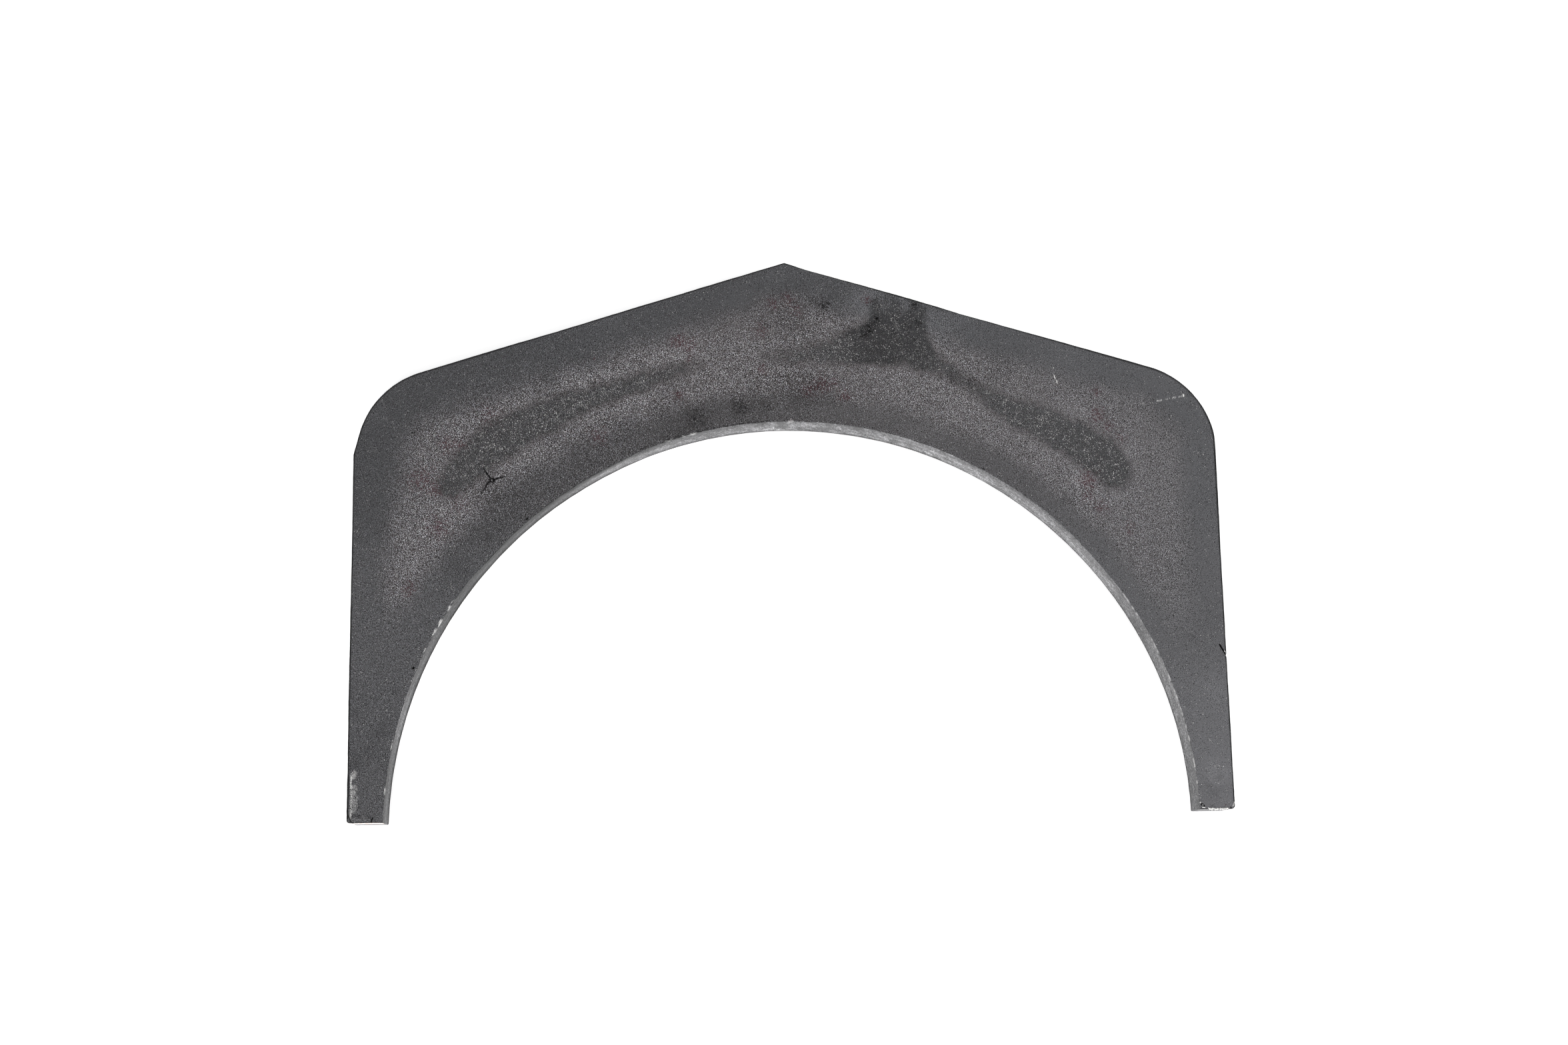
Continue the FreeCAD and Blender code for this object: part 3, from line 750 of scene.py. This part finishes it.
def addNode(tree, kind, *inputs, output=0, **settings):
    # Adds one node and gives one of its outputs. A kind in capitals is an operation of Math, and
    # an operation of VectorMath comes after a dot. Inputs are in order, or in a dictionary by name
    # or number, and each is a value or another node's output.
    kind, dot, operation = ("Math." + kind if kind.isupper() else kind).partition(".")
    node = tree.nodes.new("ShaderNode" + kind)
    if dot:
        node.operation = operation
    for name, value in settings.items():
        setattr(node, name, value)
    named = inputs[0] if inputs and isinstance(inputs[0], dict) else dict(enumerate(inputs))
    for key, value in named.items():
        if isinstance(value, bpy.types.NodeSocket):
            tree.links.new(value, node.inputs[key])
        else:
            node.inputs[key].default_value = value
    return node.outputs[output] if node.outputs else node


def newMaterial(name):
    material = bpy.data.materials.new(name)
    material.use_nodes = True
    material.node_tree.nodes.clear()
    return material, partial(addNode, material.node_tree)


castSkin = {
    "gain": 0.112,                       # brings the greys above to the light of the studio
    "cool": (0.979, 0.982, 1.04), "warm": (1.053, 0.966, 0.984),
    # The bare metal's colour also paints highlights, along the arch's front edge most of all
    # The darkest colour is for dark marks and for painted shade in cracks, holes, pits, notches and
    # grooves
    # The rim's colour is dark scale with painted shade on the rounded outer edge
    "rim": "#212122", "bare": "#F2F1EF", "dark": "#070707", "oxide": "#4A2B32", "soot": "#111112",
    # The bright specks' colour paints the glints of the grains' facets
    "crystal": "#D8D6D4",
    # Noises: size in mm, detail, roughness and how far their outlines are bent
    "noises": {"curled": (0.4, 1, 0.5, 0.4), "blotch": (3.2, 3, 0.6, 0), "patches": (0.7, 2, 0.6, 0.4),
               "crystals": (0.38, 0.5, 0.5, 0.4), "pits": (0.5, 0.5, 0.5, 0.4)},
    "pitShift": (37, 11, 5),             # mm, so that the pits don't follow the grains
    "chipMm": 0.33, "streakMm": (1.3, 14),
    "curledSpread": 17, "chipSpread": 3.4,
    # Levels of noise at which the specks begin and at which they are full
    "crystalFrom": (0.745, 0.865), "pitFrom": (0.8, 0.88), "spotFrom": (0.68, 0.77),
    "metallic": 0.75, "roughness": 0.6, "bumpMm": 0.2,
}


def makeCastSkin():
    # Sand-cast iron as it left the mould: grey scale with a grain of half a millimetre, smooth
    # and darker along the edges where the mould chilled it, dark scale with painted shade on the
    # rounded edge, and blue-grey heat stains across it
    look = castSkin
    material, add = newMaterial("sandCastIron")
    inMm = add("VectorMath.MULTIPLY", add("TexCoord", output=3), (1000, 1000, 1000))
    names = ("tone", "grit", "warmth", "stain", "stainTone", "rim", "oxide", "soot", "streak", "bare",
             "dark")
    field = {name: add("Attribute", output=2, attribute_name=name) for name in names}
    texture = {}
    for name, (size, detail, roughness, bend) in look["noises"].items():
        place = add("VectorMath.ADD", inMm, look["pitShift"]) if name == "pits" else inMm
        texture[name] = add("TexNoise", {"Vector": place, "Scale": 1 / size, "Detail": detail,
                                         "Roughness": roughness, "Distortion": bend})

    # Grains: curled ones with bent outlines, and small chips that each have a grey of their own.
    # The strong ones stand out, the dark ones most, and they flock together.
    chips = add("TexVoronoi", {"Vector": inMm, "Scale": 1 / look["chipMm"]}, output=1)
    chips = add("SeparateColor", chips)
    chips = add("MULTIPLY_ADD", chips, look["chipSpread"], -look["chipSpread"] / 2)
    spread = look["curledSpread"]
    curled = add("MULTIPLY_ADD", texture["curled"], spread, -spread / 2)
    grain = add("ADD", curled, chips)
    size = add("MULTIPLY_ADD", add("ABSOLUTE", grain), 0.42, 0.2)
    size = add("MULTIPLY_ADD", grain, -0.07, size)
    grain = add("MULTIPLY", grain, size)
    blotch = add("SUBTRACT", texture["blotch"], 0.5)
    flock = add("MULTIPLY_ADD", blotch, 2.6, 1)
    grain = add("MULTIPLY", grain, add("MAXIMUM", flock, 0.35))
    streakWidth, streakLength = look["streakMm"]
    runs = add("Mapping", {"Vector": inMm, "Scale": (1 / streakWidth, 1 / streakLength, 1)})
    runs = add("TexNoise", {"Vector": runs, "Scale": 1, "Detail": 2, "Roughness": 0.6})
    runs = add("MULTIPLY", add("SUBTRACT", runs, 0.5), field["streak"])

    # The stains' borders dissolve in grains and blotches, the more so where a stain begins
    soft = add("MapRange", field["stain"], 0, 0.12, 0, 0.13)
    grains = add("MULTIPLY_ADD", soft, 0.3, 0.06)
    reach = field["stain"]
    for part, amount in ((blotch, 1.1), (grain, grains), (runs, 2.4)):
        reach = add("MULTIPLY_ADD", part, amount, reach)
    low = add("MULTIPLY_ADD", soft, -0.6, 0.38)
    high = add("MULTIPLY_ADD", soft, 1.4, 0.6)
    stained = add("MapRange", reach, low, high, interpolation_type="SMOOTHSTEP")
    grey = add("Mix", {0: stained, 2: field["tone"], 3: field["stainTone"]})
    calm = add("MULTIPLY_ADD", stained, -0.68, 1)
    grit = add("MULTIPLY", field["grit"], calm)
    clouds = add("MULTIPLY_ADD", grain, grit, 1)
    clouds = add("MULTIPLY_ADD", blotch, 0.13, clouds)
    clouds = add("MAXIMUM", clouds, 0.25)
    level = add("POWER", add("MULTIPLY", grey, clouds), screenPower)
    level = add("MULTIPLY", level, look["gain"])
    warmth = add("MULTIPLY_ADD", grain, -0.28, 1)
    warmth = add("MULTIPLY", warmth, field["warmth"])
    warmth = add("MULTIPLY_ADD", stained, -0.8, warmth, use_clamp=True)
    tint = add("Mix", {0: warmth, 4: look["cool"], 5: look["warm"]}, output=1, data_type="VECTOR")
    colour = add("VectorMath.SCALE", {0: tint, "Scale": level})

    # Specks: bright crystals that are painted glints, thickest on the stains, black pits, soot and red
    # oxide
    gleam = add("MULTIPLY_ADD", field["stainTone"], 0.22, -0.098)
    crystals = texture["crystals"]
    for part, amount in ((stained, gleam), (blotch, 0.25), (field["grit"], 0.12)):
        crystals = add("MULTIPLY_ADD", part, amount, crystals)
    crystals = add("MapRange", crystals, *look["crystalFrom"])
    pits = add("MULTIPLY_ADD", field["grit"], 0.54, texture["pits"])
    pits = add("MapRange", pits, *look["pitFrom"], 0, 0.85)
    specks = [(crystals, "crystal"), (pits, "soot")]
    for name, cover in (("soot", 0.9), ("oxide", 0.7)):
        spot = add("MULTIPLY_ADD", field[name], 0.23, texture["patches"])
        spot = add("MapRange", spot, *look["spotFrom"], 0, cover, interpolation_type="SMOOTHSTEP")
        specks.append((spot, name))

    # Bare metal and painted highlights glitter, and the rounded edge keeps its dark scale with painted
    # shade on it
    glitter = add("MULTIPLY_ADD", grain, 0.15, 1)
    glitter = add("MULTIPLY", glitter, field["bare"], use_clamp=True)
    glitter = add("POWER", glitter, 1.7)
    rim = add("MULTIPLY_ADD", grain, 0.06, field["rim"], use_clamp=True)
    rim = add("MULTIPLY", rim, add("GREATER_THAN", field["rim"], 0.02))
    for share, name in (*specks, (rim, "rim"), (glitter, "bare"), (field["dark"], "dark")):
        colour = add("Mix", {0: share, 6: colour, 7: linear(look[name])}, output=2, data_type="RGBA")

    rough = add("MULTIPLY_ADD", grain, 0.03, look["roughness"])
    rough = add("MULTIPLY_ADD", field["bare"], -0.2, rough)
    relief = add("MULTIPLY", grain, field["grit"])
    relief = add("MULTIPLY_ADD", blotch, 0.6, relief)
    relief = add("Bump", {"Height": relief, "Strength": 1, "Distance": look["bumpMm"] * mm})
    shader = add("BsdfPrincipled", {"Base Color": colour, "Roughness": rough, "Normal": relief,
                                    "Metallic": look["metallic"]})
    add("OutputMaterial", {"Surface": shader})
    return material


groundMetal = {
    "gain": 0.085, "tint": (0.99, 0.985, 1.01), "bare": "#DAD9D8",
    "metallic": 0.35, "roughness": 0.55, "specular": 0.1, "bumpMm": 0.06,
    "lineMm": 3.4, "lineLengthMm": 26, "passMm": 5.2, "passLengthMm": 13, "passAngle": 66,
    "grainMm": 0.42, "mottleMm": 1.4,
    "poreMm": 1.3, "poreShare": 0.42,
    "crownZone": (54, 72, 96, 106),      # degrees, where the wheel's passes show as patches
    "leftHalf": (-60, -110),             # x in mm, where the left half's own look begins and is full
    "levelLine": 13.5,                   # height in mm of the left half's light line
}


def makeGroundMetal():
    # Cast iron ground by hand: bright grey metal with the wheel's lines along the arch and short
    # slanting passes that catch the light at the crown, dotted with opened pores
    look = groundMetal
    material, add = newMaterial("groundCastIron")
    inMm = add("VectorMath.MULTIPLY", add("TexCoord", output=3), (1000, 1000, 1000))
    x, y, z = (add("SeparateXYZ", inMm, output=i) for i in range(3))
    turn = add("ARCTAN2", y, x)
    unrolled = add("CombineXYZ", add("MULTIPLY", turn, plate["archRadius"]), z)
    degrees = add("MULTIPLY", turn, 180 / math.pi)
    start, full, fade, end = look["crownZone"]
    rise = add("MapRange", degrees, start, full, interpolation_type="SMOOTHSTEP")
    fall = add("MapRange", degrees, fade, end, 1, 0, interpolation_type="SMOOTHSTEP")
    crown = add("MULTIPLY", rise, fall)
    # The wall's grey by degrees carries painted light
    tone, shade, bare = (add("Attribute", output=2, attribute_name=name)
                         for name in ("archTone", "archShade", "bare"))

    # The wheel's lines and passes, the iron's grains and a soft mottle lift or lower the grey
    lines = (1 / look["lineLengthMm"], 1 / look["lineMm"], 1)
    lines = add("Mapping", {"Vector": unrolled, "Scale": lines})
    lines = add("TexNoise", {"Vector": lines, "Scale": 1, "Detail": 3, "Roughness": 0.65})
    passes = add("Mapping", {"Vector": unrolled, "Rotation": (0, 0, math.radians(look["passAngle"])),
                             "Scale": (look["passLengthMm"], look["passMm"], 1)}, vector_type="TEXTURE")
    passes = add("TexNoise", {"Vector": passes, "Scale": 1, "Detail": 1.5, "Roughness": 0.5})
    grain = add("TexVoronoi", {"Vector": inMm, "Scale": 1 / look["grainMm"]}, output=1)
    grain = add("SeparateColor", grain)
    mottle = {"Vector": inMm, "Scale": 1 / look["mottleMm"], "Detail": 2, "Roughness": 0.6}
    mottle = add("TexNoise", mottle)
    passes, grain, mottle = (add("SUBTRACT", part, 0.5) for part in (passes, grain, mottle))
    passGain = add("MULTIPLY_ADD", crown, 1.3, 1.5)
    shift = add("MULTIPLY_ADD", lines, 1.8, -0.9)
    for part, amount in ((passes, passGain), (grain, 1.1), (mottle, 2.6)):
        shift = add("MULTIPLY_ADD", part, amount, shift)

    # Darker towards both edges: painted shade towards the back edge, where the wall stands on the
    # floor, with a ragged black line of painted shadow along it
    left = add("MapRange", x, *look["leftHalf"])
    ragged = add("MULTIPLY_ADD", lines, 5, z)
    backShadeEnd = add("MULTIPLY_ADD", left, 5.5, 5.2)
    low = add("MapRange", ragged, 2.5, backShadeEnd, 0.55, 1, interpolation_type="SMOOTHSTEP")
    backShadowLevel = add("MULTIPLY_ADD", left, -0.35, 0.5)
    backShadowEnd = add("MULTIPLY_ADD", left, 2.2, 3.6)
    backShadow = add("MapRange", ragged, backShadowEnd, add("ADD", backShadowEnd, 1.2), backShadowLevel, 1)
    low = add("MULTIPLY", low, backShadow)
    raggedTop = add("MULTIPLY_ADD", passes, 9, z)
    shade = add("POWER", shade, screenPower)
    top = add("MapRange", raggedTop, 9, 19, 1, shade, interpolation_type="SMOOTHSTEP")
    # A painted highlight: a light line along the middle of the left half
    highlightBand = add("MULTIPLY_ADD", lines, 7, z)
    highlightBand = add("ABSOLUTE", add("SUBTRACT", highlightBand, look["levelLine"]))
    highlightBand = add("MapRange", highlightBand, 0.3, 2.6, 0.3, 0)
    highlightBand = add("MULTIPLY", highlightBand, left)
    low = add("MULTIPLY_ADD", highlightBand, low, low)

    pores = add("TexVoronoi", {"Vector": unrolled, "Scale": 1 / look["poreMm"]}, voronoi_dimensions="2D")
    chosen = add("SeparateColor", pores.node.outputs[1])
    pore = add("LESS_THAN", chosen, look["poreShare"])
    pore = add("MULTIPLY", pore, add("MapRange", pores, 0.14, 0.27, 1, 0))
    pore = add("MULTIPLY_ADD", pore, -0.85, 1)
    level = add("EXPONENT", shift)
    for share in (add("POWER", tone, screenPower), low, top, pore, look["gain"]):
        level = add("MULTIPLY", level, share)
    colour = add("VectorMath.SCALE", {0: look["tint"], "Scale": level})
    # Bare metal, and painted highlights along the arch's front edge
    colour = add("Mix", {0: bare, 6: colour, 7: linear(look["bare"])}, output=2, data_type="RGBA")
    rough = add("MULTIPLY_ADD", passes, 0.35, look["roughness"])
    relief = add("Bump", {"Height": shift, "Strength": 0.6, "Distance": look["bumpMm"] * mm})
    shader = add("BsdfPrincipled", {"Base Color": colour, "Roughness": rough, "Normal": relief,
                                    "Metallic": look["metallic"], "Specular IOR Level": look["specular"]})
    add("OutputMaterial", {"Surface": shader})
    return material


brokenMetal = {
    "light": "#D8D2CF", "warm": "#D9B9AC", "grey": "#69696C",
    "crystalMm": 0.9, "cloudsPerMm": 0.35, "bumpMm": 0.1,
    "brightFrom": (13.5, 18),            # height in mm, where the bright crystals begin and are full
    "rightShare": 0.08,                  # how bright the right foot is, with the left one as 1
    "metallic": 0.5, "roughness": 0.5,
}


def makeBrokenMetal():
    # The foot ends, where the gates were knocked off: bright, slightly warm crystals near the
    # front, and grey dressed metal below them, darker towards the floor as painted shade
    look = brokenMetal
    material, add = newMaterial("brokenCastIron")
    inMm = add("VectorMath.MULTIPLY", add("TexCoord", output=3), (1000, 1000, 1000))
    x, z = (add("SeparateXYZ", inMm, output=i) for i in (0, 2))
    crystals = add("TexVoronoi", {"Vector": inMm, "Scale": 1 / look["crystalMm"]})
    pick = add("SeparateColor", crystals.node.outputs[1])
    cloud = add("TexNoise", {"Vector": inMm, "Scale": look["cloudsPerMm"], "Detail": 3})
    warmth = add("MapRange", cloud, 0.45, 0.7)
    height = add("MULTIPLY_ADD", cloud, 9, z)
    bright = add("MapRange", height, *look["brightFrom"])
    side = add("MapRange", x, 40, -40, look["rightShare"], 1)
    bright = add("MULTIPLY", bright, side)
    colour = linear(look["light"])
    colour = add("Mix", {0: warmth, 6: colour, 7: linear(look["warm"])}, output=2, data_type="RGBA")
    colour = add("Mix", {0: bright, 6: linear(look["grey"]), 7: colour}, output=2, data_type="RGBA")
    shade = add("MapRange", pick, 0, 1, 0.6, 1.25)
    # Painted shade: darker towards the floor
    foot = add("MapRange", z, 1, 4.5, 0.35, 1)
    colour = add("VectorMath.SCALE", {0: colour, "Scale": add("MULTIPLY", shade, foot)})
    relief = add("Bump", {"Height": crystals, "Strength": 0.7, "Distance": look["bumpMm"] * mm})
    shader = add("BsdfPrincipled", {"Base Color": colour, "Normal": relief,
                                    "Metallic": look["metallic"], "Roughness": look["roughness"]})
    add("OutputMaterial", {"Surface": shader})
    return material


def finishPlate(piece):
    # Skin all over, ground metal on the arch's wall and broken metal on the foot ends
    for material in (makeCastSkin(), makeGroundMetal(), makeBrokenMetal()):
        piece.data.materials.append(material)
    for face in piece.data.polygons:
        x, y, _ = face.center / mm
        normal = face.normal
        reach = math.hypot(x, y)
        inwards = -(normal.x * x + normal.y * y) / max(reach, 1)
        if inwards > 0.35 and reach < plate["archRadius"] + 3:
            face.material_index = 1
        elif normal.y < -0.75 and y < plate["footRise"] + 0.6:
            face.material_index = 2
    piece.data.shade_smooth()
    piece.data.set_sharp_from_angle(angle=math.radians(50))
    piece.data.update()


# Stage

stage = {
    "cameraAt": (-44.48, -42.75, 1056.53),
    "cameraTurn": (10.466, -2.126, -1.045),  # degrees
    "lens": 48.306,
    "floorColour": "#F2F2F2", "floorGlow": 0.36, "floorHalf": 6000, "floorGap": 0.2,
    "worldStrength": 0.6,
}
lamps = (
    # Name, place, aim and size in metres, and power in watts
    ("softboxFront", (-0.55, -1.15, 0.5), (0.03, 0.1, 0.0), 0.8, 26.0),
    ("softboxOver", (0.7, 0.3, 1.3), (0.05, 0.12, 0.0), 1.0, 10.0),
)


def makeStage():
    material, add = newMaterial("paleFloor")
    camera, glossy, clear = (add("LightPath", output="Is " + kind + " Ray")
                             for kind in ("Camera", "Glossy", "Transmission"))
    seen = add("MAXIMUM", add("MAXIMUM", camera, glossy), clear)
    glow = add("MULTIPLY", seen, stage["floorGlow"])
    shader = add("BsdfPrincipled", {"Base Color": linear(stage["floorColour"]), "Roughness": 0.9,
                                    "Emission Color": linear("#FFFFFF"), "Emission Strength": glow})
    add("OutputMaterial", {"Surface": shader})
    mesh = bpy.data.meshes.new("floor")
    size, low = stage["floorHalf"] * mm, -stage["floorGap"] * mm
    corners = [(-size, -size, low), (size, -size, low), (size, size, low), (-size, size, low)]
    mesh.from_pydata(corners, [], [(0, 1, 2, 3)])
    mesh.materials.append(material)
    floor = newObject("floor", mesh)

    world = bpy.data.worlds.new("studio")
    bpy.context.scene.world = world
    world.use_nodes = True
    world.node_tree.nodes.clear()
    add = partial(addNode, world.node_tree)
    sky = add("Background", {"Color": linear("#FFFFFF"), "Strength": stage["worldStrength"]})
    add("OutputWorld", {"Surface": sky})

    for name, place, aim, size, power in lamps:
        lamp = bpy.data.lights.new(name, "AREA")
        lamp.shape, lamp.size, lamp.energy = "SQUARE", size, power
        holder = newObject(name, lamp)
        holder.location = place
        holder.rotation_euler = (Vector(aim) - Vector(place)).to_track_quat("-Z", "Y").to_euler()

    lens = bpy.data.cameras.new("camera")
    lens.lens, lens.sensor_width, lens.sensor_fit = stage["lens"], 36.0, "HORIZONTAL"
    lens.clip_start, lens.clip_end = 0.05, 20.0
    camera = newObject("camera", lens)
    camera.location = [value * mm for value in stage["cameraAt"]]
    camera.rotation_euler = [math.radians(value) for value in stage["cameraTurn"]]
    bpy.context.scene.camera = camera
    bpy.context.scene.view_settings.view_transform = "Standard"


makeStage()
print("stage: done")
liner = buildPlate()
finishPlate(liner)
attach(liner, "root")
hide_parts("liner_plate")
print("plate: done")
